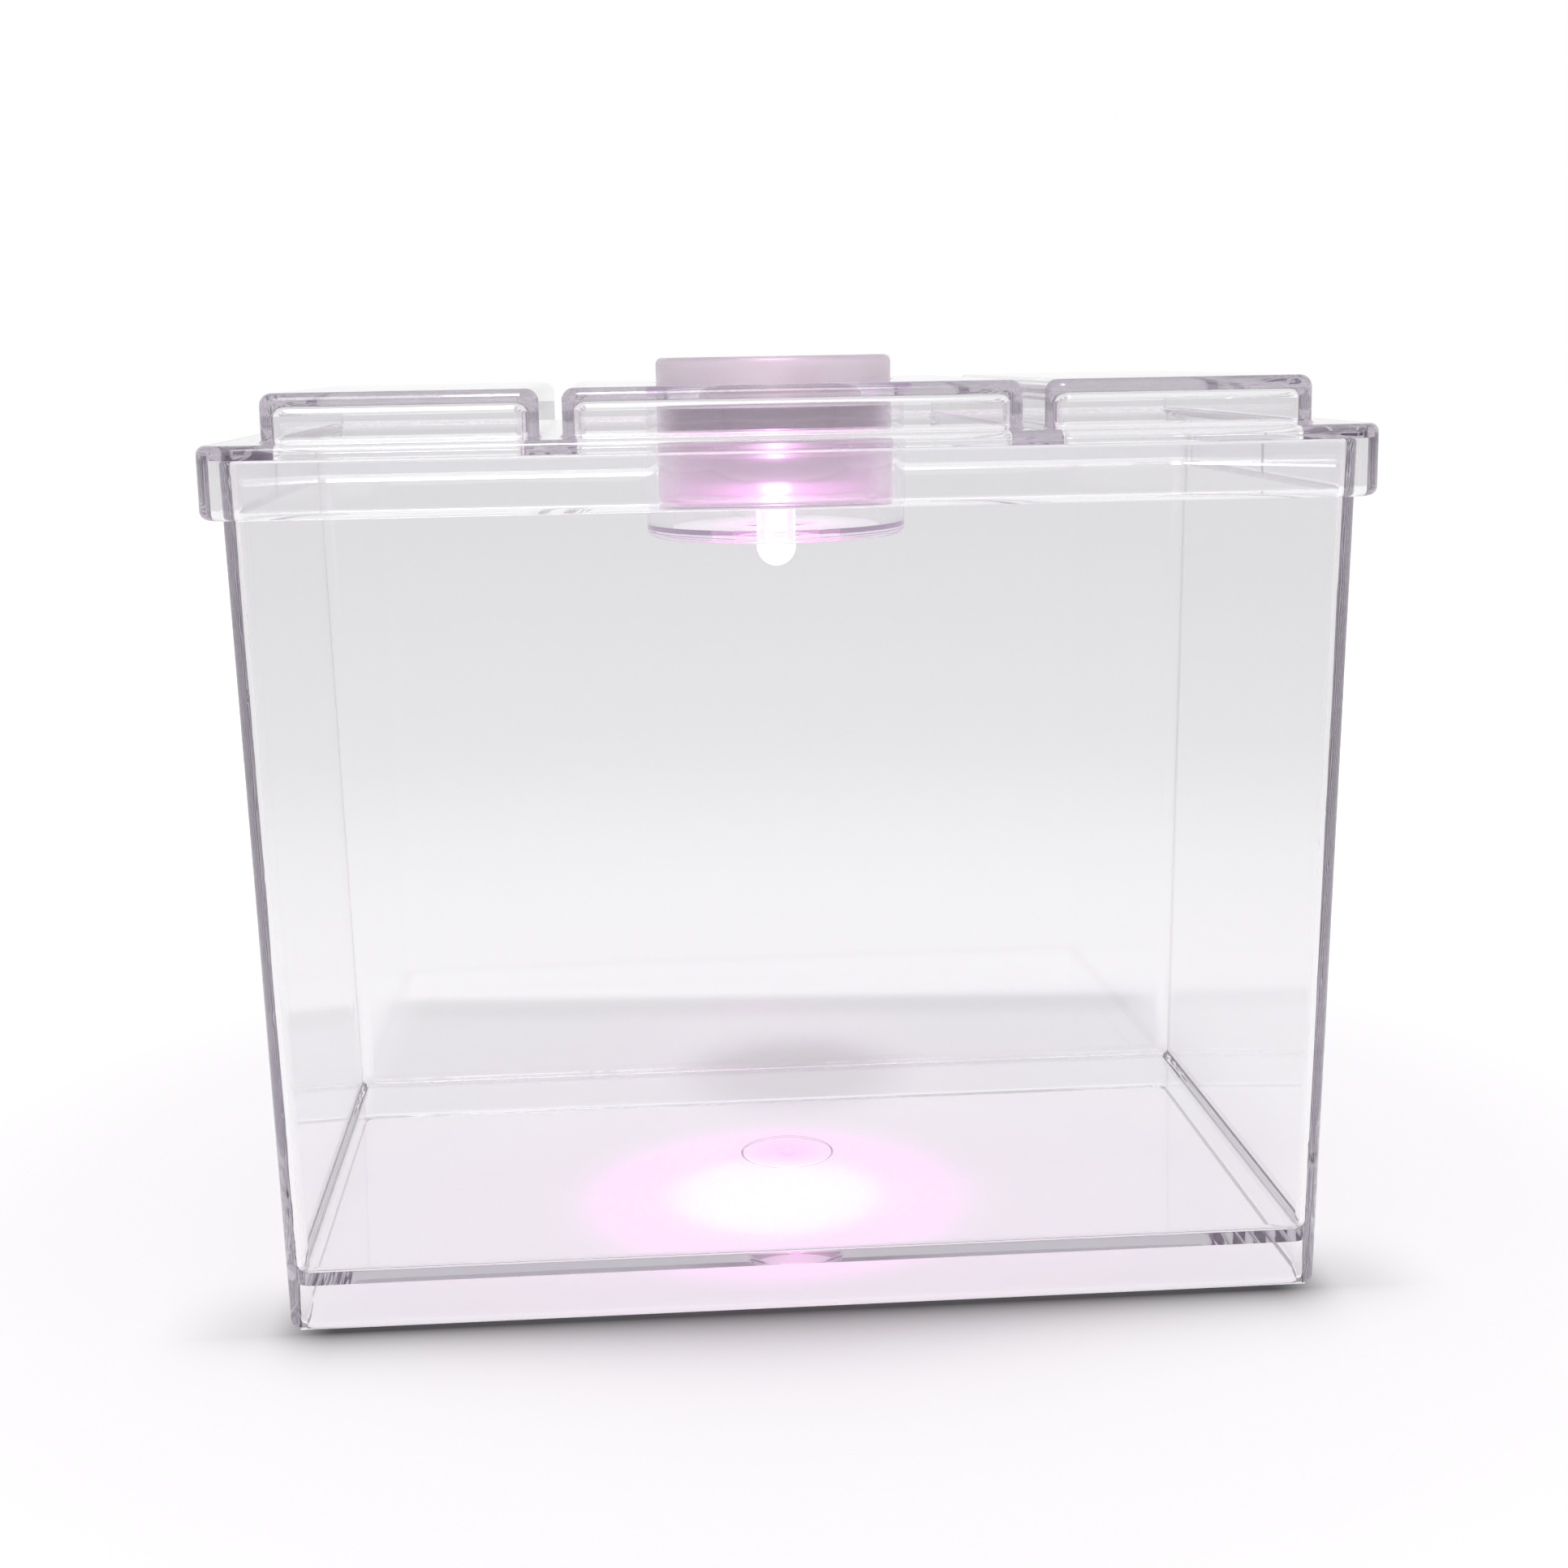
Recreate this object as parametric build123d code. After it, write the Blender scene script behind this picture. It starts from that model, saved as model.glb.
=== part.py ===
from build123d import *
import math
import os

# Mini aquarium: a drafted clear tank, a lift-off lid with three hollow blocks, and a round
# battery lamp that drops into a cup in the lid's middle block.
# Millimetres. +Z is up, +X is the tank's length, and the origin is the middle of its foot.

# Tank
TANK_LENGTH = 124.6         # outside, at the foot
TANK_DEPTH = 75.9           # outside, at the foot
TANK_HEIGHT = 102.8
DRAFT = 1.06                # degrees that the walls lean outwards
WALL = 1.5
FLOOR_TOP = 6.8             # height of the floor's upper face
FLOOR_THICKNESS = 1.4
CORNER_RADIUS = 2.4         # upright corners, outside
INNER_CORNER = 1.4          # upright corners, inside
FLOOR_FILLET = 1.0          # between the floor and the walls, inside
FOOT_ROUNDING = 0.9
RIM_ROUNDING = 0.4
GATE_RADIUS = 6.3           # round mould mark under the floor
GATE_DEPTH = 0.5
GATE_PIP_RADIUS = 1.0

# Lid
REST_GAP = 0.05             # the film of air where the lid and the lamp rest
LID_CLEARANCE = 0.3         # between the skirt and the tank's rim
SKIRT_WALL = 2.1
SKIRT_DROP = 6.5            # below the rim
PLATE_THICKNESS = 1.65
PLATE_ROUNDING = 1.0
SKIRT_ROUNDING = 1.0
BLOCK_INSET = 6.6           # from the plate's edge to the blocks
BLOCK_HEIGHT = 5.5          # above the plate
BLOCK_WALL = 1.5
BLOCK_CORNER = 2.0
BLOCK_ROUNDING = 1.4
HOLLOW_ROUNDING = 1.1       # between a hollow's walls and its roof
BLOCK_FOOT = 0.5            # radius of the corner between the blocks and the plate
CHANNEL_WIDTH = 2.6
MIDDLE_BLOCK_LENGTH = 52.6
RIB_LENGTH = 4.5            # grip pads at the middle of the skirt's ends
RIB_WIDTH = 3.4
RIB_PROUD = 0.25
RIB_ROUNDING = 0.2
RIB_RAISE = 0.4             # above the skirt's lower edge

# Lamp cup in the lid
LAMP_RADIUS = 15.0
LAMP_CLEARANCE = 0.3
CUP_WALL = 1.3
CUP_FLOOR = 1.5
CUP_DEPTH = 15.05           # from the top of the middle block to the ledge that the lamp sits on
CUP_ROUNDING = 1.1
LEDGE_WIDTH = 1.9
LEDGE_HEIGHT = 3.0          # above the cup's floor
CUP_HOLE_RADIUS = 5.6

# Lamp shells
SHELL_FLOOR = 1.2
SHELL_WALL = 1.8
HOUSING_HEIGHT = 12.0
CAP_GAP = 0.1               # between the housing's rim and the cap's flange
CAP_HEIGHT = 6.0
SHELL_ROUNDING = 0.8
SPIGOT_CLEARANCE = 0.1      # running fit of the cap's spigot in the housing
SPIGOT_WALL = 1.4
SPIGOT_DROP = 5.6           # below the cap's flange
SEAL_REBATE_DEPTH = 2.9     # the seal is a flat band in this rebate
SEAL_REBATE_WIDTH = 1.1
SEAL_HEADROOM = 0.1         # from the seal to the housing's rim
SEAL_ROUNDING = 0.35

# Bayonet between the cap and the housing
LUG_COUNT = 3
LUG_ANGLE = 12.0
LUG_PROUD = 0.8
LUG_HEIGHT = 1.0
LUG_RAISE = 0.2             # from the spigot's end to the lug
LUG_CLEARANCE = 0.2
TWIST = 60.0                # degrees from lit to released

# Cell
CELL_RADIUS = 10.0
CELL_THICKNESS = 3.2
CELL_CAP_RADIUS = 8.6
CELL_GASKET_WIDTH = 0.8
CELL_CRIMP = 0.2            # how far the cap stands proud of the can
CELL_POCKET = 0.7

# Carrier
CARRIER_GAP = 0.3
CARRIER_BASE = 1.4
CELL_GAP = 0.2
KEY_INNER_RADIUS = 4.6      # the key that stops the carrier from turning
KEY_OUTER_RADIUS = 5.8
KEY_WIDTH = 2.0
KEY_DEPTH = 0.5
KEY_GAP = 0.2

# LED
LED_RADIUS = 2.5
LED_FLANGE_RADIUS = 2.9
LED_FLANGE = 1.0
LED_LENGTH = 7.6            # from the flange to the tip
LED_SEAL_WIDTH = 1.0
LED_SEAL_THICKNESS = 0.8
LEAD_HOLE_RADIUS = 1.9      # in the shell's floor
LEAD = 0.5                  # square section of the leads
LEAD_PITCH = 2.54
LEAD_GAP = 0.1
ANVIL_RADIUS = 0.95
ANVIL_TOP = 2.0             # how far the anvil's web starts below the flange
ANVIL_WEB = 1.2
ANVIL_HEIGHT = 1.0
REFLECTOR_MOUTH = 0.8
REFLECTOR_BASE = 0.4
REFLECTOR_DEPTH = 0.5
CHIP = 0.34
CHIP_HEIGHT = 0.14
POST_WIDTH = 0.5

# Contacts
SHEET = 0.3                 # thickness of the stamped contacts
STRIP_WIDTH = 2.5
STRIP_FOOT = 2.2
STRIP_TAB = 0.7
STRIP_RADIUS = 11.2         # from the lamp's axis to the strip
SLOT_GAP = 0.2
TOUCH_GAP = 0.05            # between a wiping contact and what it wipes
CONTACT_RADIUS = 10.9
FINGER_WIDTH = 2.0
TONGUE_WIDTH = 2.4
TONGUE_LENGTH = 6.0
STAKE_COUNT = 3
STAKE_CIRCLE = 7.6
STAKE_RADIUS = 1.1
STAKE_SHOULDER = 1.7
STAKE_HEAD = 0.5
STAKE_GAP = 0.1
CONTACT_DROP = 3.0          # from the flange's face down to the contact plate

# Derived sizes of the tank and the lid
GROWTH = math.tan(math.radians(DRAFT))
RIM_LENGTH = TANK_LENGTH + 2 * TANK_HEIGHT * GROWTH
RIM_DEPTH = TANK_DEPTH + 2 * TANK_HEIGHT * GROWTH
LID_INNER_LENGTH = RIM_LENGTH + 2 * LID_CLEARANCE
LID_INNER_DEPTH = RIM_DEPTH + 2 * LID_CLEARANCE
LID_INNER_CORNER = CORNER_RADIUS + LID_CLEARANCE
LID_LENGTH = LID_INNER_LENGTH + 2 * SKIRT_WALL
LID_DEPTH = LID_INNER_DEPTH + 2 * SKIRT_WALL
LID_CORNER = LID_INNER_CORNER + SKIRT_WALL
PLATE_BOTTOM = TANK_HEIGHT + REST_GAP
PLATE_TOP = PLATE_BOTTOM + PLATE_THICKNESS
BLOCK_TOP = PLATE_TOP + BLOCK_HEIGHT
BLOCK_DEPTH = LID_DEPTH - 2 * BLOCK_INSET
BLOCKS_HALF_LENGTH = LID_LENGTH / 2 - BLOCK_INSET
END_BLOCK_LENGTH = BLOCKS_HALF_LENGTH - MIDDLE_BLOCK_LENGTH / 2 - CHANNEL_WIDTH
END_BLOCK_X = BLOCKS_HALF_LENGTH - END_BLOCK_LENGTH / 2

# Derived heights and radii of the lamp, all in the tank's frame
SOCKET_RADIUS = LAMP_RADIUS + LAMP_CLEARANCE
CUP_RADIUS = SOCKET_RADIUS + CUP_WALL
SEAT_Z = BLOCK_TOP - CUP_DEPTH
LAMP_Z = SEAT_Z + REST_GAP
CUP_FLOOR_Z = SEAT_Z - LEDGE_HEIGHT
LEDGE_RADIUS = SOCKET_RADIUS - LEDGE_WIDTH
SHELL_FLOOR_Z = LAMP_Z + SHELL_FLOOR
BORE_RADIUS = LAMP_RADIUS - SHELL_WALL
HOUSING_TOP = LAMP_Z + HOUSING_HEIGHT
FLANGE_Z = HOUSING_TOP + CAP_GAP
CAP_TOP = FLANGE_Z + CAP_HEIGHT
SPIGOT_RADIUS = BORE_RADIUS - SPIGOT_CLEARANCE
SPIGOT_INNER = SPIGOT_RADIUS - SPIGOT_WALL
SPIGOT_END = FLANGE_Z - SPIGOT_DROP
REBATE_Z = HOUSING_TOP - SEAL_REBATE_DEPTH
REBATE_RADIUS = BORE_RADIUS + SEAL_REBATE_WIDTH
LUG_Z = SPIGOT_END + LUG_RAISE
TRACK_RADIUS = SPIGOT_RADIUS + LUG_PROUD + LUG_CLEARANCE
CARRIER_RADIUS = BORE_RADIUS - CARRIER_GAP
CELL_Z = SHELL_FLOOR_Z + CARRIER_BASE
CELL_TOP = CELL_Z + CELL_THICKNESS
LED_SHOULDER_Z = LAMP_Z - LED_FLANGE
LED_TIP = LED_SHOULDER_Z - LED_LENGTH
ANODE_RUN_Z = SHELL_FLOOR_Z + LEAD_GAP
STRIP_FOOT_Z = ANODE_RUN_Z + LEAD
CONTACT_Z = FLANGE_Z - CONTACT_DROP


def cylinder(radius, low, high, x=0.0, y=0.0):
    """An upright cylinder between two heights."""
    return Pos(x, y, low) * extrude(Circle(radius), amount=high - low)


def tube(inner, outer, low, high):
    """A plain upright tube between two heights."""
    return Pos(0, 0, low) * extrude(Circle(outer) - Circle(inner), amount=high - low)


def sector(inner, outer, low, high, start, angle):
    """A stretch of a ring between two heights, from a start angle about Z."""
    section = Plane.XZ * Pos((inner + outer) / 2, (low + high) / 2) * Rectangle(outer - inner, high - low)
    return Rot(0, 0, start) * revolve(section, axis=Axis.Z, revolution_arc=angle)


def block(low, high):
    """A rectangular block between two corner points."""
    size = [b - a for a, b in zip(low, high)]
    return Pos(*low) * Box(*size, align=(Align.MIN, Align.MIN, Align.MIN))


def bottom_edges(solid):
    """The edges of a solid's lowest face."""
    return solid.faces().sort_by(Axis.Z)[0].edges()


def top_edges(solid):
    """The edges of a solid's highest face."""
    return solid.faces().sort_by(Axis.Z)[-1].edges()


def drafted_box(length, depth, height, corner):
    """A box whose walls lean outwards by the draft, with rounded upright corners."""
    box = extrude(Rectangle(length, depth), amount=height, taper=-DRAFT)
    return fillet(box.edges().group_by(Axis.Z)[1], corner)


def gate_mark():
    """The shallow round dish under the floor, with the pip where the plastic came in."""
    under = FLOOR_TOP - FLOOR_THICKNESS
    dish = cylinder(GATE_RADIUS, under, under + GATE_DEPTH)
    dish = fillet(top_edges(dish), GATE_DEPTH * 0.8)
    return dish - cylinder(GATE_PIP_RADIUS, under + GATE_DEPTH / 4, under + GATE_DEPTH)


def make_tank():
    """The tank: drafted walls, raised floor, recess below it and a rounded rim and foot."""
    shell = drafted_box(TANK_LENGTH, TANK_DEPTH, TANK_HEIGHT, CORNER_RADIUS)
    shell = fillet(bottom_edges(shell), FOOT_ROUNDING)
    spread = 2 * (FLOOR_TOP * GROWTH - WALL)
    cavity = drafted_box(TANK_LENGTH + spread, TANK_DEPTH + spread, TANK_HEIGHT, INNER_CORNER)
    cavity = fillet(bottom_edges(cavity), FLOOR_FILLET)
    under = RectangleRounded(TANK_LENGTH - 2 * WALL, TANK_DEPTH - 2 * WALL, INNER_CORNER)
    recess = extrude(under, amount=FLOOR_TOP - FLOOR_THICKNESS)
    tank = shell - Pos(0, 0, FLOOR_TOP) * cavity - recess - gate_mark()
    return fillet(top_edges(tank), RIM_ROUNDING)


def lid_block(length):
    """One raised block of the lid, solid, from the plate's underside to its rounded top."""
    outline = RectangleRounded(length, BLOCK_DEPTH, BLOCK_CORNER)
    solid = Pos(0, 0, PLATE_BOTTOM) * extrude(outline, amount=BLOCK_TOP - PLATE_BOTTOM)
    return fillet(top_edges(solid), BLOCK_ROUNDING)


def lid_hollow(length):
    """The space inside one raised block, open at the bottom."""
    outline = RectangleRounded(
        length - 2 * BLOCK_WALL, BLOCK_DEPTH - 2 * BLOCK_WALL, BLOCK_CORNER - BLOCK_WALL / 2
    )
    space = Pos(0, 0, PLATE_BOTTOM) * extrude(outline, amount=BLOCK_TOP - BLOCK_WALL - PLATE_BOTTOM)
    return fillet(top_edges(space), HOLLOW_ROUNDING)


def grip_rib(side):
    """The low upright pad inside one end of the skirt, which grips the tank's rim."""
    low = TANK_HEIGHT - SKIRT_DROP + RIB_RAISE
    face = side * (LID_INNER_LENGTH / 2 - RIB_PROUD)
    root = side * (LID_INNER_LENGTH / 2 + SKIRT_WALL / 2)
    near = min(face, root)
    far = max(face, root)
    pad = block((near, -RIB_WIDTH / 2, low), (far, RIB_WIDTH / 2, low + RIB_LENGTH))
    return fillet(pad.edges().filter_by_position(Axis.X, face - TOUCH_GAP, face + TOUCH_GAP), RIB_ROUNDING)


def foot_edges(lid):
    """The edges where the blocks' walls meet the plate's top."""
    level = lid.edges().filter_by_position(Axis.Z, PLATE_TOP - TOUCH_GAP, PLATE_TOP + TOUCH_GAP)
    reach = BLOCKS_HALF_LENGTH + TOUCH_GAP
    depth = BLOCK_DEPTH / 2 + TOUCH_GAP
    inside = level.filter_by_position(Axis.X, -reach, reach)
    return inside.filter_by_position(Axis.Y, -depth, depth)


def make_lid():
    """The lid: plate, skirt, three hollow blocks with channels between them, and grip ribs."""
    skirt_low = TANK_HEIGHT - SKIRT_DROP
    outline = RectangleRounded(LID_LENGTH, LID_DEPTH, LID_CORNER)
    lid = Pos(0, 0, skirt_low) * extrude(outline, amount=PLATE_TOP - skirt_low)
    lid = fillet(top_edges(lid), PLATE_ROUNDING)
    lid = fillet(bottom_edges(lid), SKIRT_ROUNDING)
    inner = RectangleRounded(LID_INNER_LENGTH, LID_INNER_DEPTH, LID_INNER_CORNER)
    lid -= Pos(0, 0, skirt_low) * extrude(inner, amount=PLATE_BOTTOM - skirt_low)
    lengths = ((-END_BLOCK_X, END_BLOCK_LENGTH), (0, MIDDLE_BLOCK_LENGTH), (END_BLOCK_X, END_BLOCK_LENGTH))
    for x, length in lengths:
        lid += Pos(x, 0, 0) * lid_block(length)
    lid = fillet(foot_edges(lid), BLOCK_FOOT)
    for x, length in lengths:
        lid -= Pos(x, 0, 0) * lid_hollow(length)
    lid -= cylinder(SOCKET_RADIUS, PLATE_BOTTOM, BLOCK_TOP + 1)
    for side in (-1, 1):
        lid += grip_rib(side)
    return lid


def make_lamp_cup():
    """The clear cup under the middle block, with a ledge, a rounded bottom and a hole for the LED."""
    low = CUP_FLOOR_Z - CUP_FLOOR
    cup = cylinder(CUP_RADIUS, low, BLOCK_TOP - BLOCK_WALL)
    cup = fillet(bottom_edges(cup), CUP_ROUNDING)
    cup -= cylinder(SOCKET_RADIUS, SEAT_Z, BLOCK_TOP)
    cup -= cylinder(LEDGE_RADIUS, CUP_FLOOR_Z, SEAT_Z)
    return cup - cylinder(CUP_HOLE_RADIUS, low, CUP_FLOOR_Z)


def bayonet_tracks():
    """The three L-shaped tracks in the housing's bore that the cap's lugs run in."""
    margin = math.degrees(LUG_CLEARANCE / SPIGOT_RADIUS)
    low = LUG_Z - LUG_CLEARANCE
    high = LUG_Z + LUG_HEIGHT + LUG_CLEARANCE
    inner = BORE_RADIUS - LUG_PROUD
    tracks = Part()
    for index in range(LUG_COUNT):
        start = index * 360 / LUG_COUNT - LUG_ANGLE / 2 - margin
        lug_span = LUG_ANGLE + 2 * margin
        tracks += sector(inner, TRACK_RADIUS, low, high, start, TWIST + lug_span)
        tracks += sector(inner, TRACK_RADIUS, low, HOUSING_TOP, start + TWIST, lug_span)
    return tracks


def make_lamp_housing():
    """The lamp's lower shell, with its bore, seal rebate, bayonet tracks and key notch."""
    shell = cylinder(LAMP_RADIUS, LAMP_Z, HOUSING_TOP)
    shell = fillet(bottom_edges(shell), SHELL_ROUNDING)
    shell -= cylinder(BORE_RADIUS, SHELL_FLOOR_Z, HOUSING_TOP)
    shell -= cylinder(REBATE_RADIUS, REBATE_Z, HOUSING_TOP)
    shell -= bayonet_tracks()
    shell -= cylinder(LEAD_HOLE_RADIUS, LAMP_Z, SHELL_FLOOR_Z)
    notch = KEY_WIDTH / 2 + KEY_GAP
    return shell - block(
        (-notch, KEY_INNER_RADIUS - KEY_GAP, SHELL_FLOOR_Z - KEY_DEPTH - KEY_GAP),
        (notch, KEY_OUTER_RADIUS + KEY_GAP, SHELL_FLOOR_Z),
    )


def make_lamp_cap():
    """The twist cap: flange, spigot with bayonet lugs, and stakes that hold the leaf contact."""
    cap = cylinder(LAMP_RADIUS, FLANGE_Z, CAP_TOP)
    cap = fillet(top_edges(cap), SHELL_ROUNDING)
    cap += cylinder(SPIGOT_RADIUS, SPIGOT_END, FLANGE_Z)
    for index in range(LUG_COUNT):
        start = index * 360 / LUG_COUNT - LUG_ANGLE / 2
        lug_radius = SPIGOT_RADIUS + LUG_PROUD
        cap += sector(SPIGOT_INNER, lug_radius, LUG_Z, LUG_Z + LUG_HEIGHT, start, LUG_ANGLE)
    roof = CAP_TOP - SHELL_FLOOR
    cap -= cylinder(SPIGOT_INNER, SPIGOT_END, roof)
    for x, y in stake_places():
        cap += cylinder(STAKE_SHOULDER, CONTACT_Z, roof, x, y)
        cap += cylinder(STAKE_RADIUS, CONTACT_Z - SHEET, CONTACT_Z, x, y)
        cap += cylinder(STAKE_SHOULDER, CONTACT_Z - SHEET - STAKE_HEAD, CONTACT_Z - SHEET, x, y)
    return cap


def stake_places():
    """Where the cap's stakes stand, spread evenly about the axis."""
    places = []
    for index in range(STAKE_COUNT):
        angle = math.radians(60 + index * 360 / STAKE_COUNT)
        places.append((STAKE_CIRCLE * math.cos(angle), STAKE_CIRCLE * math.sin(angle)))
    return places


def make_cap_seal():
    """The flat band seal round the spigot's root, in the housing's rebate."""
    height = SEAL_REBATE_DEPTH - SEAL_HEADROOM
    centre = (BORE_RADIUS + REBATE_RADIUS) / 2
    profile = RectangleRounded(SEAL_REBATE_WIDTH - TOUCH_GAP * 2, height, SEAL_ROUNDING)
    return revolve(Plane.XZ * Pos(centre, REBATE_Z + height / 2) * profile, axis=Axis.Z)


def lead_slot(x, low, high):
    """A square hole for one upright lead."""
    half = LEAD / 2 + LEAD_GAP
    return block((x - half, -half, low), (x + half, half, high))


def make_cell_carrier():
    """The tray that centres the cell, with grooves for the leads and a slot for the strip."""
    tray = cylinder(CARRIER_RADIUS, SHELL_FLOOR_Z, CELL_TOP)
    tray -= cylinder(CELL_RADIUS + CELL_GAP, CELL_Z, CELL_TOP)
    groove = LEAD / 2 + LEAD_GAP
    tray -= lead_slot(LEAD_PITCH / 2, SHELL_FLOOR_Z, CELL_Z)
    tray -= block((LEAD_PITCH / 2, -groove, CELL_Z - LEAD), (cathode_end() + LEAD_GAP, groove, CELL_Z))
    anode_low = -LEAD_PITCH / 2 - groove
    tray -= block((-STRIP_RADIUS, -groove, SHELL_FLOOR_Z), (-LEAD_PITCH / 2 + groove, groove, STRIP_FOOT_Z))
    tray -= lead_slot(-LEAD_PITCH / 2, SHELL_FLOOR_Z, STRIP_FOOT_Z)
    half = STRIP_WIDTH / 2 + SLOT_GAP
    slot_far = -STRIP_RADIUS - SHEET / 2 - SLOT_GAP
    tray -= block(
        (slot_far, -half, SHELL_FLOOR_Z), (min(strip_foot_end() + SLOT_GAP, anode_low), half, STRIP_FOOT_Z + SHEET)
    )
    tray -= block((slot_far, -half, SHELL_FLOOR_Z), (-STRIP_RADIUS + SHEET / 2 + SLOT_GAP, half, CELL_TOP))
    return tray + block(
        (-KEY_WIDTH / 2, KEY_INNER_RADIUS, SHELL_FLOOR_Z - KEY_DEPTH),
        (KEY_WIDTH / 2, KEY_OUTER_RADIUS, SHELL_FLOOR_Z),
    )


def cathode_end():
    """How far out the cathode lead reaches under the cell."""
    return CELL_CAP_RADIUS - CELL_GASKET_WIDTH


def strip_foot_end():
    """The inner end of the strip's foot, on the anode lead."""
    return -STRIP_RADIUS - SHEET / 2 + STRIP_FOOT


def make_cell():
    """The can, gasket and cap of the coin cell, which stands cap down in the carrier."""
    face = CELL_Z + CELL_CRIMP
    pocket = face + CELL_POCKET
    gasket_outer = CELL_CAP_RADIUS + CELL_GASKET_WIDTH
    can = cylinder(CELL_RADIUS, face, CELL_TOP)
    can = fillet(top_edges(can), CELL_CRIMP)
    can -= cylinder(gasket_outer, face, pocket)
    gasket = tube(CELL_CAP_RADIUS, gasket_outer, face, pocket)
    cap = cylinder(CELL_CAP_RADIUS, CELL_Z, pocket)
    return can, gasket, cap


def make_led_leads():
    """The cathode with its anvil and the anode with its post, both bent for the carrier."""
    half = LEAD / 2
    anvil_top = LED_SHOULDER_Z - ANVIL_TOP
    web_low = anvil_top - ANVIL_WEB
    anvil_low = web_low - ANVIL_HEIGHT
    right = LEAD_PITCH / 2
    cathode = block((right - half, -half, web_low), (right + half, half, CELL_Z))
    cathode += block((right - half, -half, CELL_Z - LEAD), (cathode_end(), half, CELL_Z))
    cathode += block((-half, -half, web_low), (right, half, anvil_top))
    cathode += cylinder(ANVIL_RADIUS, anvil_low, web_low)
    reflector = Cone(REFLECTOR_MOUTH, REFLECTOR_BASE, REFLECTOR_DEPTH, align=(Align.CENTER, Align.CENTER, Align.MIN))
    cathode -= Pos(0, 0, anvil_low) * reflector
    post_x = -ANVIL_RADIUS - LEAD_GAP
    post = block((post_x - POST_WIDTH, -half, web_low), (post_x, half, anvil_top))
    anode = block((-right - half, -half, anvil_top), (-right + half, half, STRIP_FOOT_Z))
    anode += post
    anode += block((-STRIP_RADIUS + SHEET / 2, -half, ANODE_RUN_Z), (-right, half, STRIP_FOOT_Z))
    chip_top = anvil_low + REFLECTOR_DEPTH
    chip = block((-CHIP / 2, -CHIP / 2, chip_top - CHIP_HEIGHT), (CHIP / 2, CHIP / 2, chip_top))
    return cathode, anode, chip


def make_led_lens(cathode, anode, chip):
    """The LED's epoxy body: flange, barrel and dome, cast round the leads and the chip."""
    dome_z = LED_TIP + LED_RADIUS
    lens = cylinder(LED_FLANGE_RADIUS, LED_SHOULDER_Z, LAMP_Z)
    lens += cylinder(LED_RADIUS, dome_z, LED_SHOULDER_Z)
    lens += Pos(0, 0, dome_z) * Sphere(LED_RADIUS)
    return lens - cathode - anode - chip


def make_led_seal():
    """The small ring round the LED's flange, under the shell."""
    inner = LED_FLANGE_RADIUS + TOUCH_GAP
    return tube(inner, inner + LED_SEAL_WIDTH, LAMP_Z - LED_SEAL_THICKNESS, LAMP_Z)


def make_contact_strip():
    """The stamped strip from the anode lead up to the carrier's rim."""
    outer = -STRIP_RADIUS - SHEET / 2
    inner = -STRIP_RADIUS + SHEET / 2
    half = STRIP_WIDTH / 2
    strip = block((outer, -half, STRIP_FOOT_Z), (inner, half, CELL_TOP + SHEET))
    strip += block((outer, -half, STRIP_FOOT_Z), (strip_foot_end(), half, STRIP_FOOT_Z + SHEET))
    return strip + block((outer, -half, CELL_TOP), (outer + SHEET + STRIP_TAB, half, CELL_TOP + SHEET))


def make_cap_contact():
    """The leaf contact: a plate on the stakes, a tongue to the cell and a finger to the strip."""
    top = CONTACT_Z
    low = CONTACT_Z - SHEET
    plate = cylinder(CONTACT_RADIUS, low, top)
    for x, y in stake_places():
        plate -= cylinder(STAKE_RADIUS + STAKE_GAP, low, top, x, y)
    half = TONGUE_WIDTH / 2
    window = half + STAKE_GAP * 3
    plate -= block((-window, -window, low), (TONGUE_LENGTH - SHEET, window, top))
    touch = CELL_TOP + TOUCH_GAP
    side = Plane.XZ * make_face(
        Polyline(
            (TONGUE_LENGTH, top), (TONGUE_LENGTH - SHEET, low), (half, touch), (-half, touch),
            (-half, touch + SHEET), (half, touch + SHEET), (TONGUE_LENGTH - SHEET, top), (TONGUE_LENGTH, top),
        )
    )
    plate += extrude(side, amount=half, both=True)
    finger_low = CELL_TOP + SHEET + TOUCH_GAP
    finger_far = -CONTACT_RADIUS
    return plate + block(
        (finger_far, -FINGER_WIDTH / 2, finger_low), (finger_far + SHEET, FINGER_WIDTH / 2, low + SHEET / 2)
    )


def make_parts():
    """Every piece of the aquarium by its node name, each in its place."""
    cathode, anode, chip = make_led_leads()
    cell_can, cell_gasket, cell_cap = make_cell()
    return {
        "tank": make_tank(),
        "lid": make_lid(),
        "lamp_cup": make_lamp_cup(),
        "lamp_housing": make_lamp_housing(),
        "lamp_cap": make_lamp_cap(),
        "cap_seal": make_cap_seal(),
        "cell_carrier": make_cell_carrier(),
        "cell_can": cell_can,
        "cell_gasket": cell_gasket,
        "cell_cap": cell_cap,
        "led_lens": make_led_lens(cathode, anode, chip),
        "led_cathode_lead": cathode,
        "led_anode_lead": anode,
        "led_chip": chip,
        "led_seal": make_led_seal(),
        "contact_strip": make_contact_strip(),
        "cap_contact": make_cap_contact(),
    }


os.makedirs("parts", exist_ok=True)
for node, solid in make_parts().items():
    export_step(solid, f"parts/{node}.step")
    print(node, "volume", round(solid.volume, 2), "size", [round(v, 2) for v in solid.bounding_box().size])
print("lid", round(LID_LENGTH, 2), "by", round(LID_DEPTH, 2), "top of the lamp", round(CAP_TOP, 2))
print("lamp", round(LAMP_Z, 2), "LED tip", round(LED_TIP, 2), "top of the cell", round(CELL_TOP, 2))
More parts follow.
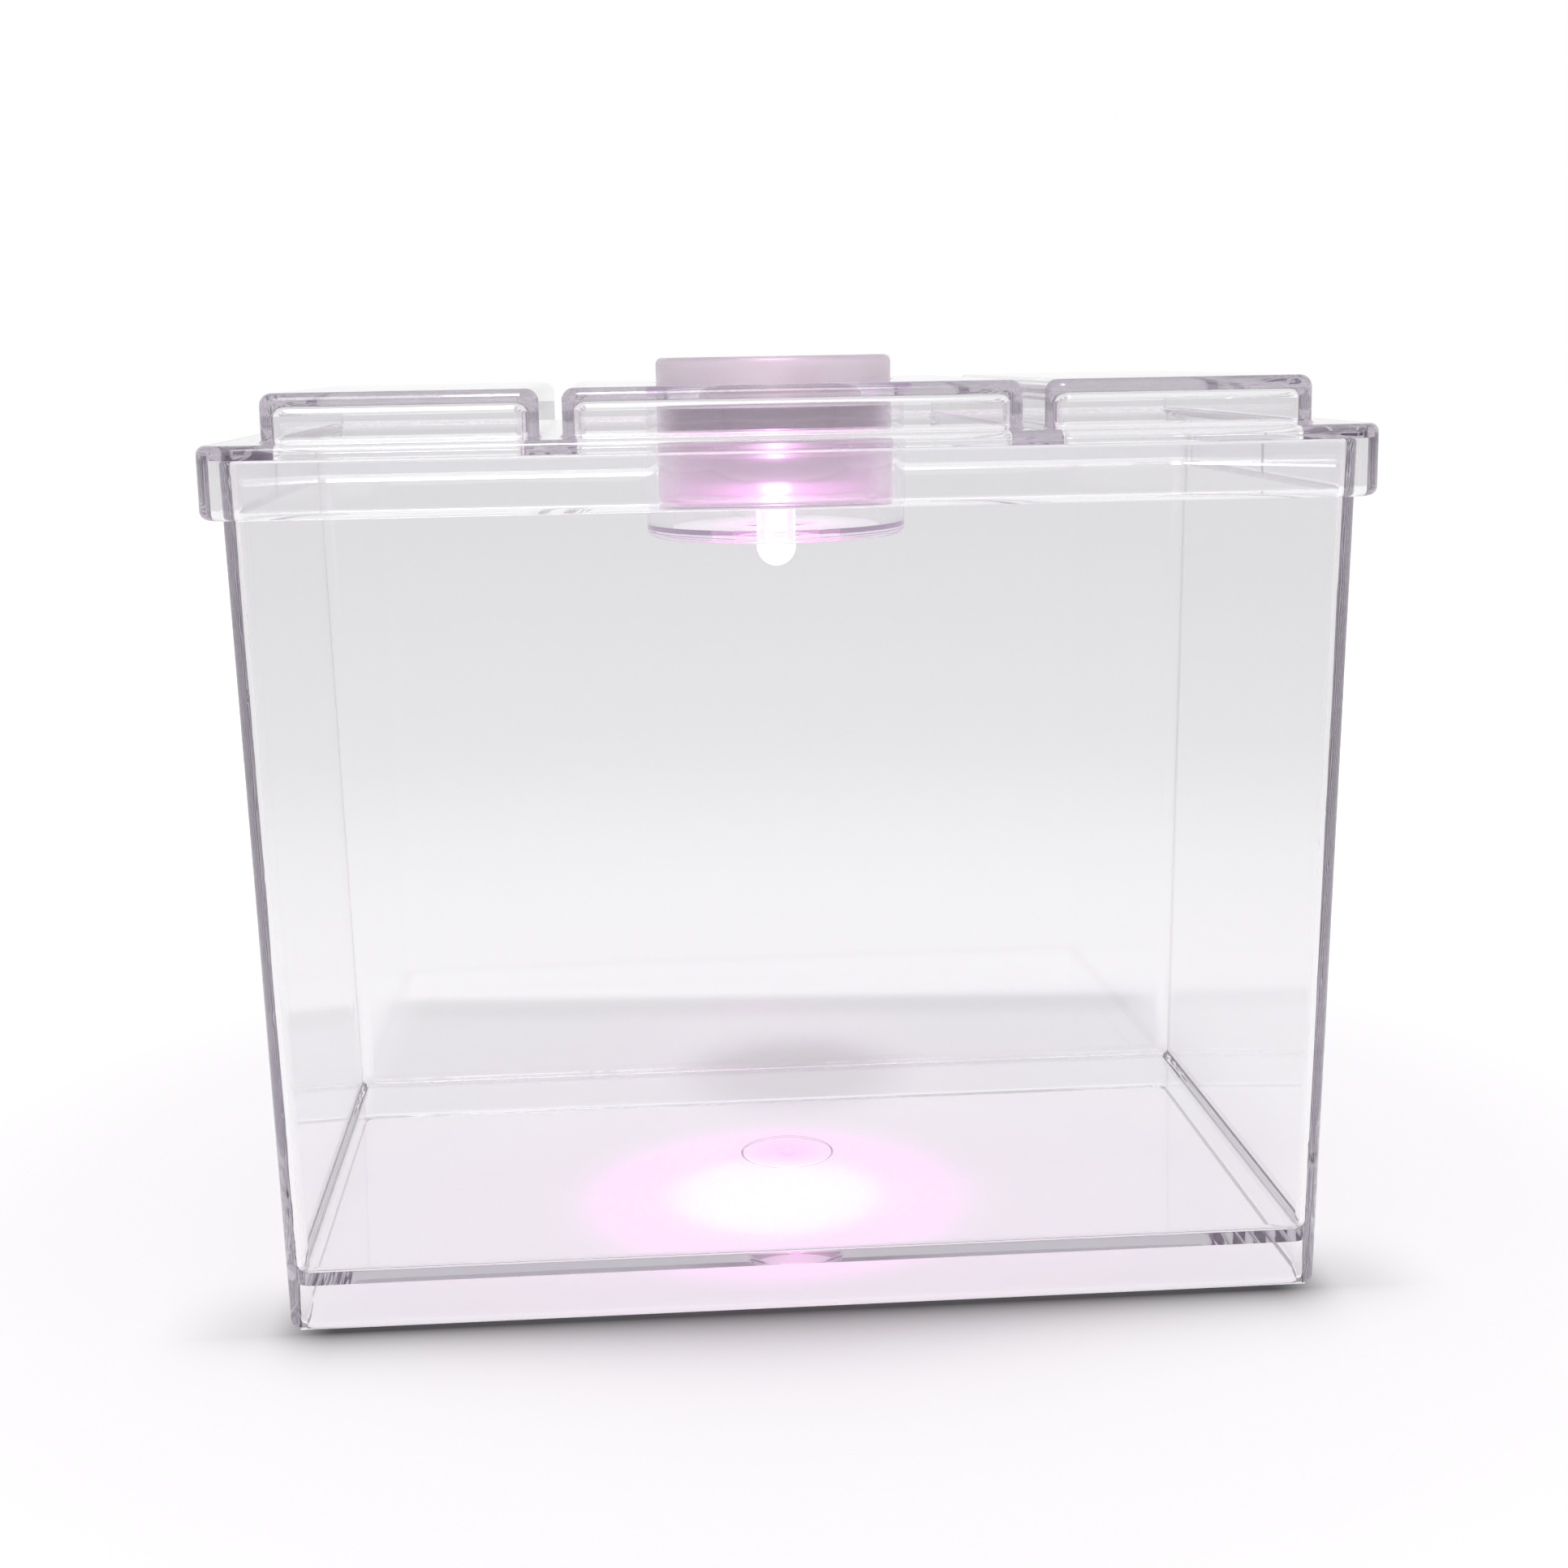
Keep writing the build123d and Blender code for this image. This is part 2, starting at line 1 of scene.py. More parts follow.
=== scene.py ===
# %% [markdown]
# # A mini aquarium in Blender
# The object is a small clear plastic tank with a lift-off lid of three hollow blocks and a round
# battery lamp that drops into a cup in the lid. Its shapes were built as solids and packed, so this
# lesson loads them as a fixed frame and gives each one the finish of the real thing.
# Everything is in metres: +X is the tank's length, +Y runs from the front to the back, +Z is up.

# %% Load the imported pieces
import math

import bpy
from mathutils import Matrix, Vector


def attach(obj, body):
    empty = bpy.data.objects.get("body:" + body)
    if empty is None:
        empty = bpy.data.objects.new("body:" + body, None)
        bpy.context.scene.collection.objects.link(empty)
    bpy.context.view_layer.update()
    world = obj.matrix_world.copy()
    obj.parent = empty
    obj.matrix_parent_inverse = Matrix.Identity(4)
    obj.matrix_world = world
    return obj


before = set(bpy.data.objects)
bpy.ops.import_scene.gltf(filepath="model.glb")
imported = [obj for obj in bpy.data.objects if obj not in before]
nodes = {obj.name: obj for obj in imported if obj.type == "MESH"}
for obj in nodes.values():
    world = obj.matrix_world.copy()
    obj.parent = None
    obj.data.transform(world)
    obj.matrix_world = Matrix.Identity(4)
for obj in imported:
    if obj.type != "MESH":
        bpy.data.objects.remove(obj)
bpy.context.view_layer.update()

bpy.ops.object.select_all(action="DESELECT")

# %% [markdown]
# ## The camera
# The photograph was taken from just above the lid, a little left of the middle, and the camera leans
# by a degree. A pinhole camera was fitted to the corners of the tank and the lid, which gave its
# place, its three turns and a focal length of 2788 pixels on a picture 1932 pixels wide.

# %% Place the camera
PHOTO_WIDTH = 1932
FOCAL_PIXELS = 2788.0
SENSOR_WIDTH = 36
CLIP_START = 0.01
EYE = Vector((-0.020114, -0.293888, 0.113228))
YAW, PITCH, ROLL = 0.06999, -0.18746, -0.01746

forward = Vector((math.sin(YAW) * math.cos(PITCH), math.cos(YAW) * math.cos(PITCH), math.sin(PITCH)))
level = Vector((math.cos(YAW), -math.sin(YAW), 0))
above = level.cross(forward)
right = math.cos(ROLL) * level + math.sin(ROLL) * above
upward = math.cos(ROLL) * above - math.sin(ROLL) * level

bpy.ops.object.camera_add()
camera = bpy.context.object
camera.name = "photo_camera"
camera.data.sensor_width = SENSOR_WIDTH
camera.data.lens = FOCAL_PIXELS / PHOTO_WIDTH * SENSOR_WIDTH
camera.data.clip_start = CLIP_START
turns = Matrix((right, upward, -forward)).transposed().to_4x4()
camera.matrix_world = Matrix.Translation(EYE) @ turns
bpy.context.scene.camera = camera
print("camera lens in mm:", round(camera.data.lens, 2))

# %% [markdown]
# ## Small helpers for node trees
# Every finish is a tree of nodes, and the same few steps come back in all of them: place a node,
# wire it, do a sum, and fade softly from one level to another. Each step is a function, so that the
# finishes below read as what they do.

# %% Nodes and wires
def put(tree, kind, x=0, y=0, **settings):
    """A new node in a tree, with its plain settings."""
    node = tree.nodes.new(kind)
    node.location = (x, y)
    for name, value in settings.items():
        setattr(node, name, value)
    return node


def wire(tree, *pairs):
    """Joins outputs to inputs, two by two."""
    for output, into in zip(pairs[::2], pairs[1::2]):
        tree.links.new(output, into)


print("helpers: put, wire")


# %% Sums on numbers and vectors
def maths(tree, operation, first, second=None, x=0, y=0):
    """A Math node on two sockets or numbers. Returns its output."""
    node = put(tree, "ShaderNodeMath", x, y, operation=operation)
    for socket, value in zip(node.inputs, (first, second)):
        if isinstance(value, (int, float)):
            socket.default_value = value
        elif value is not None:
            tree.links.new(value, socket)
    return node.outputs[0]


def vectors(tree, operation, first, second=None, x=0, y=0):
    """A Vector Math node on two sockets or constant vectors. Returns its output."""
    node = put(tree, "ShaderNodeVectorMath", x, y, operation=operation)
    for socket, value in zip(node.inputs, (first, second)):
        if isinstance(value, tuple):
            socket.default_value = value
        elif value is not None:
            tree.links.new(value, socket)
    return node.outputs["Value" if operation in ("LENGTH", "DOT_PRODUCT") else "Vector"]


def product(tree, *factors, x=0, y=0):
    """Several sockets multiplied one after the other."""
    total = factors[0]
    for step, factor in enumerate(factors[1:]):
        total = maths(tree, "MULTIPLY", total, factor, x + 200 * step, y)
    return total


print("helpers: maths, vectors, product")


# %% Fades and rays
def fade(tree, value, ends, levels=(0.0, 1.0), x=0, y=0):
    """Goes softly from one level to another, as a value goes from one end to the other."""
    node = put(tree, "ShaderNodeMapRange", x, y, interpolation_type="SMOOTHSTEP")
    for socket, number in zip(node.inputs[1:5], (*ends, *levels)):
        socket.default_value = number
    wire(tree, value, node.inputs["Value"])
    return node.outputs[0]


def seen_rays(tree, x=0, y=0):
    """One for rays from the eye, from mirrors and through glass, and zero for rays of light."""
    path = put(tree, "ShaderNodeLightPath", x, y)
    some = maths(tree, "MAXIMUM", path.outputs["Is Camera Ray"], path.outputs["Is Glossy Ray"], x + 200, y)
    return maths(tree, "MAXIMUM", some, path.outputs["Is Transmission Ray"], x + 400, y)


print("helpers: fade, seen_rays")

# %% [markdown]
# ## The studio
# Clear plastic shows only what is around it. The tank stands on a white table in a white room, so
# its faces nearly vanish and its edges, through which one sees a long way into the plastic, go grey.
# What lights the object and what it is seen against are set apart: the first is an even white, and
# the second is a pale wall with a soft box above and a brighter side in front.

# %% The white room
WHITE = (1, 1, 1, 1)
ROOM_COLOUR = (1.0, 0.985, 1.0, 1)
ROOM_LIGHT = 0.655
BACKDROP_GREY = 0.97
OVERHEAD_GREY = 0.75
OVERHEAD_SPAN = (0.25, 0.8)
SOFT_BOX_FROM = (-0.10, -0.45, 0.89)
SOFT_BOX_EDGE = (0.965, 0.985)
SOFT_BOX_LIGHT = 6.0
FRONT_SPAN = (-0.6, 0.2)
FRONT_LIGHT = 0.60

world = bpy.data.worlds.new("white_room")
bpy.context.scene.world = world
world.use_nodes = True
tree = world.node_tree
tree.nodes.clear()
direction = put(tree, "ShaderNodeTexCoord", -1000, -300).outputs["Generated"]
axes = put(tree, "ShaderNodeSeparateXYZ", -800, -300)
wire(tree, direction, axes.inputs[0])
camera_ray = put(tree, "ShaderNodeLightPath", -800, -600).outputs["Is Camera Ray"]
shade = fade(tree, axes.outputs["Z"], OVERHEAD_SPAN, (BACKDROP_GREY, OVERHEAD_GREY), -600, -300)
facing = vectors(tree, "DOT_PRODUCT", direction, SOFT_BOX_FROM, -800, -900)
soft_box = fade(tree, facing, SOFT_BOX_EDGE, (0.0, SOFT_BOX_LIGHT), -600, -900)
front_side = fade(tree, axes.outputs["Y"], FRONT_SPAN, (FRONT_LIGHT, 0.0), -600, -1200)
lit = maths(tree, "MAXIMUM", shade, camera_ray, -400, -300)
lit = maths(tree, "ADD", lit, soft_box, -200, -300)
lit = maths(tree, "ADD", lit, front_side, 0, -300)
soft_light = put(tree, "ShaderNodeBackground", 200, 0)
soft_light.inputs["Color"].default_value = ROOM_COLOUR
soft_light.inputs["Strength"].default_value = ROOM_LIGHT
backdrop = put(tree, "ShaderNodeBackground", 200, -300)
backdrop.inputs["Color"].default_value = WHITE
room = put(tree, "ShaderNodeMixShader", 400, 0)
out = put(tree, "ShaderNodeOutputWorld", 600, 0)
wire(tree, lit, backdrop.inputs["Strength"], seen_rays(tree, -800, 300), room.inputs[0])
wire(tree, soft_light.outputs[0], room.inputs[1], backdrop.outputs[0], room.inputs[2])
wire(tree, room.outputs[0], out.inputs["Surface"])
print("room light:", ROOM_LIGHT)

# %% [markdown]
# ## The white table
# The paper that the tank stands on is white in front and falls off to a pale grey behind it, where
# the studio's lamps no longer reach. One sees that fall-off only through the plastic, because the
# background round the object is pure white. So the table's far part is greyer for rays that have
# been through or off something, and the eye sees it white. A metre further off, a lit wall behind
# the table brightens it again, and the lid is seen against that.

# %% The table and its far tone
TABLE_SIZE = 12.0
TABLE_LEVEL = -0.0001
GREY_SPAN = (0.14, 0.40)
FAR_GREY = 0.90
WALL_SPAN = (0.45, 2.1)
WALL_GAIN = 0.13

bpy.ops.mesh.primitive_plane_add(size=TABLE_SIZE, location=(0, 0, TABLE_LEVEL))
table = bpy.context.object
table.name = "table"
bpy.ops.object.transform_apply()
table_finish = bpy.data.materials.new("white_table")
table_finish.use_nodes = True
tree = table_finish.node_tree
place = put(tree, "ShaderNodeTexCoord", -1400, 0).outputs["Object"]
camera_ray = put(tree, "ShaderNodeLightPath", -1000, 300).outputs["Is Camera Ray"]
distance = vectors(tree, "LENGTH", place, None, -1200, 0)
fall_off = fade(tree, distance, GREY_SPAN, (1.0, FAR_GREY), -1000, 0)
wall_light = fade(tree, distance, WALL_SPAN, (0.0, WALL_GAIN), -1000, -200)
tone = maths(tree, "ADD", fall_off, wall_light, -800, 0)
print("table:", TABLE_SIZE, "m wide")

# %% [markdown]
# The lid's own shadow lies behind the tank, a little turned, with the skirt's darker line along its
# far side. It too is seen only through the plastic.

# %% The lid's shadow
LID_SHADE = 0.115
LID_SHADE_NEAR = (0.038, 0.042)
LID_SHADE_FAR = (0.0960, 0.1030)
LID_SHADE_SIDE = (0.060, 0.072)
LID_SHADE_MIDDLE = (0.0035, 0, 0)
LID_SHADE_TURN = (0.1, 1, 0)
SKIRT_SHADE = 0.075
SKIRT_SHADE_SPAN = (0.0835, 0.0935)

under_lid = put(tree, "ShaderNodeSeparateXYZ", -1400, 600)
wire(tree, vectors(tree, "SUBTRACT", place, LID_SHADE_MIDDLE, -1600, 600), under_lid.inputs[0])
aside = maths(tree, "ABSOLUTE", under_lid.outputs["X"], None, -1200, 500)
turned = vectors(tree, "DOT_PRODUCT", place, LID_SHADE_TURN, -1400, 800)
lid_shade = product(
    tree,
    fade(tree, under_lid.outputs["Y"], LID_SHADE_NEAR, (0.0, 1.0), -1000, 600),
    fade(tree, turned, LID_SHADE_FAR, (1.0, 0.0), -1000, 850),
    fade(tree, turned, SKIRT_SHADE_SPAN, (LID_SHADE, LID_SHADE + SKIRT_SHADE), -1000, 1100),
    fade(tree, aside, LID_SHADE_SIDE, (1.0, 0.0), -1000, 1350),
    x=-800,
    y=600,
)
tone = maths(tree, "SUBTRACT", tone, lid_shade, -600, 0)
tone = maths(tree, "MAXIMUM", tone, camera_ray, -400, 0)
print("the lid's shadow ends at y:", LID_SHADE_FAR)

# %% [markdown]
# Right before the foot, where the table sees least of the room, it goes dark grey. The shadow is
# strongest in the middle, fades over a centimetre, and reaches faintly round the foot's corners.

# %% The contact shadow
FOOT_HALF = (0.0610, 0.0370, 0)
FOOT_FRONT = -0.0384
CONTACT_SHADE = 0.91
CONTACT_REACH = (0.0074, 0.0042)
CONTACT_BEHIND = -0.018
CORNER_SHARE = 0.30
CORNER_FADE = (0.0565, 0.0660)
CORNER_END = (0.061, 0.081)
IN_PLANE = (1, 1, 0)
NO_GAP = 0.0001

folded = vectors(tree, "ABSOLUTE", place, None, -1200, -800)
past = vectors(tree, "SUBTRACT", folded, FOOT_HALF, -1000, -800)
past = vectors(tree, "MAXIMUM", past, (0, 0, 0), -800, -800)
gap = vectors(tree, "LENGTH", vectors(tree, "MULTIPLY", past, IN_PLANE, -600, -800), None, -400, -800)
beside_foot = maths(tree, "GREATER_THAN", gap, NO_GAP, -200, -800)
along = put(tree, "ShaderNodeSeparateXYZ", -600, -1100)
across = put(tree, "ShaderNodeSeparateXYZ", -600, -1900)
wire(tree, folded, along.inputs[0], place, across.inputs[0])
reach = fade(tree, along.outputs["X"], (0.0, FOOT_HALF[0]), CONTACT_REACH, -400, -1100)
middle = fade(tree, along.outputs["X"], CORNER_FADE, (1.0 - CORNER_SHARE, 0.0), -400, -1350)
corner = fade(tree, along.outputs["X"], CORNER_END, (CORNER_SHARE, 0.0), -400, -1600)
ahead = maths(tree, "SUBTRACT", FOOT_FRONT, across.outputs["Y"], -400, -1900)
ahead = maths(tree, "DIVIDE", maths(tree, "MAXIMUM", ahead, 0.0, -200, -1900), reach, 0, -1900)
ahead = maths(tree, "EXPONENT", maths(tree, "MULTIPLY", ahead, -1.0, 200, -1900), None, 400, -1900)
behind = fade(tree, across.outputs["Y"], (FOOT_FRONT, CONTACT_BEHIND), (CONTACT_SHADE, 0.0), -400, -2200)
sideways = maths(tree, "ADD", middle, corner, -200, -1350)
contact = product(tree, ahead, behind, sideways, beside_foot, x=600, y=-1900)
open_table = maths(tree, "SUBTRACT", 1.0, contact, 1200, -1900)
tone = maths(tree, "MULTIPLY", tone, open_table, 1400, 0)
print("contact shadow, strongest share:", CONTACT_SHADE)

# %% [markdown]
# The table keeps the shadows. A little light of its own, which only the eye, mirrors and glass see,
# lifts its lit part to white without any more light on the object. Away from the object the eye
# gets more of it, so the paper runs into the white background without an edge.

# %% The table's finish
TABLE_WHITE = 0.9
TABLE_ROUGHNESS = 0.9
TABLE_LIFT = 0.10
FAR_LIFT = 0.30
FAR_LIFT_SPAN = (0.09, 0.25)

lift = maths(tree, "MULTIPLY", seen_rays(tree, 600, -400), TABLE_LIFT, 1200, -400)
far_white = fade(tree, distance, FAR_LIFT_SPAN, (0.0, FAR_LIFT), 1000, -600)
far_white = maths(tree, "MULTIPLY", far_white, camera_ray, 1200, -600)
lift = maths(tree, "ADD", lift, far_white, 1400, -400)
skin = tree.nodes["Principled BSDF"]
skin.location = (2000, 0)
tree.nodes["Material Output"].location = (2400, 0)
skin.inputs["Roughness"].default_value = TABLE_ROUGHNESS
skin.inputs["Specular IOR Level"].default_value = 0.0
skin.inputs["Emission Color"].default_value = WHITE
wire(tree, maths(tree, "MULTIPLY", tone, TABLE_WHITE, 1600, 0), skin.inputs["Base Color"])
wire(tree, maths(tree, "MULTIPLY", lift, tone, 1600, -400), skin.inputs["Emission Strength"])
table.data.materials.append(table_finish)
print("table finish:", table_finish.name)

# %% [markdown]
# One round lamp, high above and a little in front, throws the shadows. The eye and the glass don't
# see it.

# %% The studio's lamp
KEY_FROM = Vector((-0.045, -0.49, 1.0)).normalized()
KEY_DISTANCE = 2.0
KEY_WIDTH = 0.2
KEY_POWER = 14.6
KEY_TARGET = (0, 0, 0.05)


def aim(lamp, place, target):
    """Puts a lamp at a place and turns it towards a target."""
    lamp.location = place
    lamp.rotation_euler = (Vector(target) - Vector(place)).to_track_quat("-Z", "Y").to_euler()


bpy.ops.object.light_add(type="AREA")
key = bpy.context.object
key.name = "key_lamp"
key.data.shape = "DISK"
key.data.size = KEY_WIDTH
key.data.energy = KEY_POWER
key.visible_camera = False
key.visible_transmission = False
aim(key, KEY_FROM * KEY_DISTANCE, KEY_TARGET)
print("studio lamp: key at", [round(v, 2) for v in key.location])

# %% [markdown]
# ## Effects that several finishes share
# Three things come back on this object, so each is a small group of nodes, built once. Moulded skin
# is the faint waviness, smudging and hair scratches of handled plastic. Turned metal is the fine
# rings that pressing and polishing leave about an axis. Light in plastic is the pink that the light
# leaves in the pieces about it, painted in as a glow, strong near the light and gone a centimetre
# away, with a faint even painted glow besides.

# %% How a group is built and placed
FLOAT, COLOUR = "NodeSocketFloat", "NodeSocketColor"


def new_group(name, inputs, outputs):
    """An empty group with named inputs and outputs, and its two end nodes."""
    group = bpy.data.node_groups.new(name, "ShaderNodeTree")
    for title, kind, value in inputs:
        group.interface.new_socket(title, in_out="INPUT", socket_type=kind).default_value = value
    for title, kind in outputs:
        group.interface.new_socket(title, in_out="OUTPUT", socket_type=kind)
    return group, put(group, "NodeGroupInput", -1400, 0), put(group, "NodeGroupOutput", 800, 0)


def place_group(tree, group, x, y, **values):
    """A group in a material, with its own values."""
    node = put(tree, "ShaderNodeGroup", x, y, node_tree=group)
    for name, value in values.items():
        node.inputs[name.replace("_", " ")].default_value = value
    return node


def noise(tree, vector, scale, detail, x, y):
    """A noise texture on a vector. Returns its factor."""
    node = put(tree, "ShaderNodeTexNoise", x, y)
    node.inputs["Scale"].default_value = scale
    node.inputs["Detail"].default_value = detail
    wire(tree, vector, node.inputs["Vector"])
    return node.outputs["Fac"]


print("helpers: new_group, place_group, noise")

# %% Moulded skin
SMUDGE_SCALE = 38
SMUDGE_SPAN = (0.48, 0.72)
SCRATCH_SCALE = 2600
SCRATCH_SPAN = (0.72, 0.78)
SCRATCH_TURN = (0.4, 0.7, 0.5)
SCRATCH_STRETCH = (1.0, 0.03, 0.03)
WORN_SCALE = 55
WORN_SPAN = (0.45, 0.65)
WAVE_SCALE = 70
GRAIN_SCALE = 6500

moulded_skin, given, result = new_group(
    "moulded_skin",
    [("Roughness", FLOAT, 0.02), ("Smudge", FLOAT, 0.03), ("Scratch", FLOAT, 0.1), ("Grain", FLOAT, 0.0)],
    [("Roughness", FLOAT), ("Height", FLOAT)],
)
tree = moulded_skin
place = put(tree, "ShaderNodeTexCoord", -1400, -300).outputs["Object"]
smudges = fade(tree, noise(tree, place, SMUDGE_SCALE, 4, -1000, 300), SMUDGE_SPAN, x=-800, y=300)
smudges = maths(tree, "MULTIPLY", smudges, given.outputs["Smudge"], -600, 300)
drawn = put(tree, "ShaderNodeMapping", -1200, 0)
drawn.inputs["Rotation"].default_value = SCRATCH_TURN
drawn.inputs["Scale"].default_value = SCRATCH_STRETCH
wire(tree, place, drawn.inputs["Vector"])
scratches = noise(tree, drawn.outputs[0], SCRATCH_SCALE, 2, -1000, 0)
scratches = fade(tree, scratches, SCRATCH_SPAN, x=-800, y=0)
worn = fade(tree, noise(tree, place, WORN_SCALE, 2, -1000, -200), WORN_SPAN, x=-800, y=-200)
scratches = product(tree, scratches, worn, given.outputs["Scratch"], x=-600, y=0)
rough = maths(tree, "ADD", given.outputs["Roughness"], smudges, -200, 300)
rough = maths(tree, "ADD", rough, scratches, 0, 300)
waves = noise(tree, place, WAVE_SCALE, 1, -1000, -500)
grain = noise(tree, place, GRAIN_SCALE, 2, -1000, -700)
grain = maths(tree, "MULTIPLY", grain, given.outputs["Grain"], -600, -700)
high = maths(tree, "ADD", waves, grain, -200, -500)
high = maths(tree, "SUBTRACT", high, scratches, 0, -500)
wire(tree, rough, result.inputs["Roughness"], high, result.inputs["Height"])
print("shared group:", moulded_skin.name)

# %% Turned metal
RING_SCALE = 5200
RING_DETAIL = 3
STAIN_SCALE = 260

turned_metal, given, result = new_group(
    "turned_metal",
    [("Roughness", FLOAT, 0.25), ("Spread", FLOAT, 0.15)],
    [("Roughness", FLOAT), ("Height", FLOAT), ("Shade", FLOAT)],
)
tree = turned_metal
place = put(tree, "ShaderNodeTexCoord", -1400, -300).outputs["Object"]
flat = vectors(tree, "MULTIPLY", place, IN_PLANE, -1200, -300)
radius = vectors(tree, "LENGTH", flat, None, -1000, -300)
rings = put(tree, "ShaderNodeTexNoise", -800, -300, noise_dimensions="1D")
rings.inputs["Scale"].default_value = RING_SCALE
rings.inputs["Detail"].default_value = RING_DETAIL
wire(tree, radius, rings.inputs["W"])
stain = noise(tree, place, STAIN_SCALE, 4, -800, -600)
rough = maths(tree, "MULTIPLY", rings.outputs["Fac"], given.outputs["Spread"], -400, 0)
rough = maths(tree, "ADD", given.outputs["Roughness"], rough, -200, 0)
wire(tree, rough, result.inputs["Roughness"], rings.outputs["Fac"], result.inputs["Height"])
wire(tree, stain, result.inputs["Shade"])
print("shared group:", turned_metal.name)

# %% Light in plastic
PINK = (1.0, 0.30, 0.80)
EVEN_GLOW = (1.0, 0.76, 0.99)

light_in_plastic, given, result = new_group(
    "light_in_plastic",
    [("Height", FLOAT, 0.095), ("Reach", FLOAT, 0.005), ("Power", FLOAT, 1.0), ("Haze", FLOAT, 0.0)],
    [("Colour", COLOUR), ("Share", FLOAT)],
)
tree = light_in_plastic
place = put(tree, "ShaderNodeTexCoord", -1400, -300).outputs["Object"]
centre = put(tree, "ShaderNodeCombineXYZ", -1200, 0)
wire(tree, given.outputs["Height"], centre.inputs["Z"])
away = vectors(tree, "SUBTRACT", place, centre.outputs[0], -1000, -300)
away = vectors(tree, "LENGTH", away, None, -800, -300)
share = maths(tree, "DIVIDE", away, given.outputs["Reach"], -600, -300)
share = maths(tree, "POWER", share, 2.0, -400, -300)
share = maths(tree, "MULTIPLY", share, -1.0, -200, -300)
share = maths(tree, "EXPONENT", share, None, 0, -300)
# Painted light: the plastic gives off this pink near the light, and a faint even glow all over.
pink = put(tree, "ShaderNodeVectorMath", 400, 0, operation="SCALE")
pink.inputs[0].default_value = PINK
wire(tree, maths(tree, "MULTIPLY", share, given.outputs["Power"], 200, -300), pink.inputs["Scale"])
even_glow = put(tree, "ShaderNodeVectorMath", 400, -300, operation="SCALE")
even_glow.inputs[0].default_value = EVEN_GLOW
wire(tree, given.outputs["Haze"], even_glow.inputs["Scale"])
both = vectors(tree, "ADD", pink.outputs[0], even_glow.outputs[0], 600, 0)
wire(tree, both, result.inputs["Colour"], share, result.inputs["Share"])
print("shared group:", light_in_plastic.name)

# %% [markdown]
# ## How a finish is made
# A finish is a Principled shader with its plain values, a shared group for its skin or its rings,
# and, where the light is near, the pink in the plastic. Rays of light that look for a lamp pass
# straight through the clear and milky plastics with a small loss, so that these throw a pale shadow
# rather than a black one.

# %% A fresh material and its surface
def finish(name, **settings):
    """A new material and the parts of it that each finish sets, with its plain values."""
    material = bpy.data.materials.new(name)
    material.use_nodes = True
    tree = material.node_tree
    shader = tree.nodes["Principled BSDF"]
    for title, value in settings.items():
        shader.inputs[title.replace("_", " ")].default_value = value
    return material, tree, shader, tree.nodes["Material Output"]


def surface(tree, shader, group, depth, **values):
    """Places a group that gives a surface its roughness and its height."""
    skin = place_group(tree, group, -600, -200, **values)
    bump = put(tree, "ShaderNodeBump", -300, -400)
    bump.inputs["Distance"].default_value = depth
    wire(tree, skin.outputs["Roughness"], shader.inputs["Roughness"])
    wire(tree, skin.outputs["Height"], bump.inputs["Height"], bump.outputs[0], shader.inputs["Normal"])
    return skin


def tones(tree, shader, value, first, last):
    """Colours a shader from one tone to another, by a value."""
    ramp = put(tree, "ShaderNodeValToRGB", -300, 200)
    ramp.color_ramp.elements[0].color = (*first, 1)
    ramp.color_ramp.elements[1].color = (*last, 1)
    wire(tree, value, ramp.inputs[0], ramp.outputs[0], shader.inputs["Base Color"])


print("helpers: finish, surface, tones")


# %% Light in a finish, and its place on the pieces
def glow(tree, shader, height, reach, power, even_glow=0.0):
    """The pink that the light leaves in plastic about a height on the axis. Returns the group."""
    lit = place_group(tree, light_in_plastic, -600, -700, Height=height, Reach=reach, Power=power, Haze=even_glow)
    wire(tree, lit.outputs["Colour"], shader.inputs["Emission Color"])
    shader.inputs["Emission Strength"].default_value = 1.0
    return lit


def let_lamps_through(tree, shader, output, tint):
    """Rays that look for a lamp pass straight through the shader, tinted a little."""
    path = put(tree, "ShaderNodeLightPath", -200, 500)
    passing = maths(tree, "MAXIMUM", path.outputs["Is Shadow Ray"], path.outputs["Is Diffuse Ray"], 0, 500)
    open_way = put(tree, "ShaderNodeBsdfTransparent", 0, 300)
    open_way.inputs["Color"].default_value = (*tint, 1)
    both = put(tree, "ShaderNodeMixShader", 400, 300)
    wire(tree, passing, both.inputs[0], shader.outputs[0], both.inputs[1])
    wire(tree, open_way.outputs[0], both.inputs[2], both.outputs[0], output.inputs["Surface"])


def dress(material, *names):
    """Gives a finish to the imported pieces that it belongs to."""
    for name in names:
        nodes[name].material_slots[0].material = material
    print(material.name, "on", *names)


print("helpers: glow, let_lamps_through, dress")

# %% [markdown]
# ## The clear plastic
# Tank, lid and lamp cup are polished injection mouldings. Glass with a refractive index of 1.49
# bends light as acrylic does. A faint violet grey absorption does little across a 2 mm wall, but
# it darkens the long way through an edge, which is how one sees where the plastic is. On the cup's
# bottom and the middle of the tank's floor, where the light goes through, its pink is painted into
# the colour and made to glow.

# %% Polished clear plastic
ACRYLIC_IOR = 1.49
CLEAR_BASE = (0.985, 0.985, 0.99)
PAINTED_LIGHT_PINK = (1.0, 0.62, 0.93)
CLEAR_SHADOW = (0.963, 0.954, 0.966)
CLEAR_DEPTH = 0.000005
CLEAR_TINT = (0.775, 0.753, 0.788, 1)
CLEAR_DENSITY = 32.0


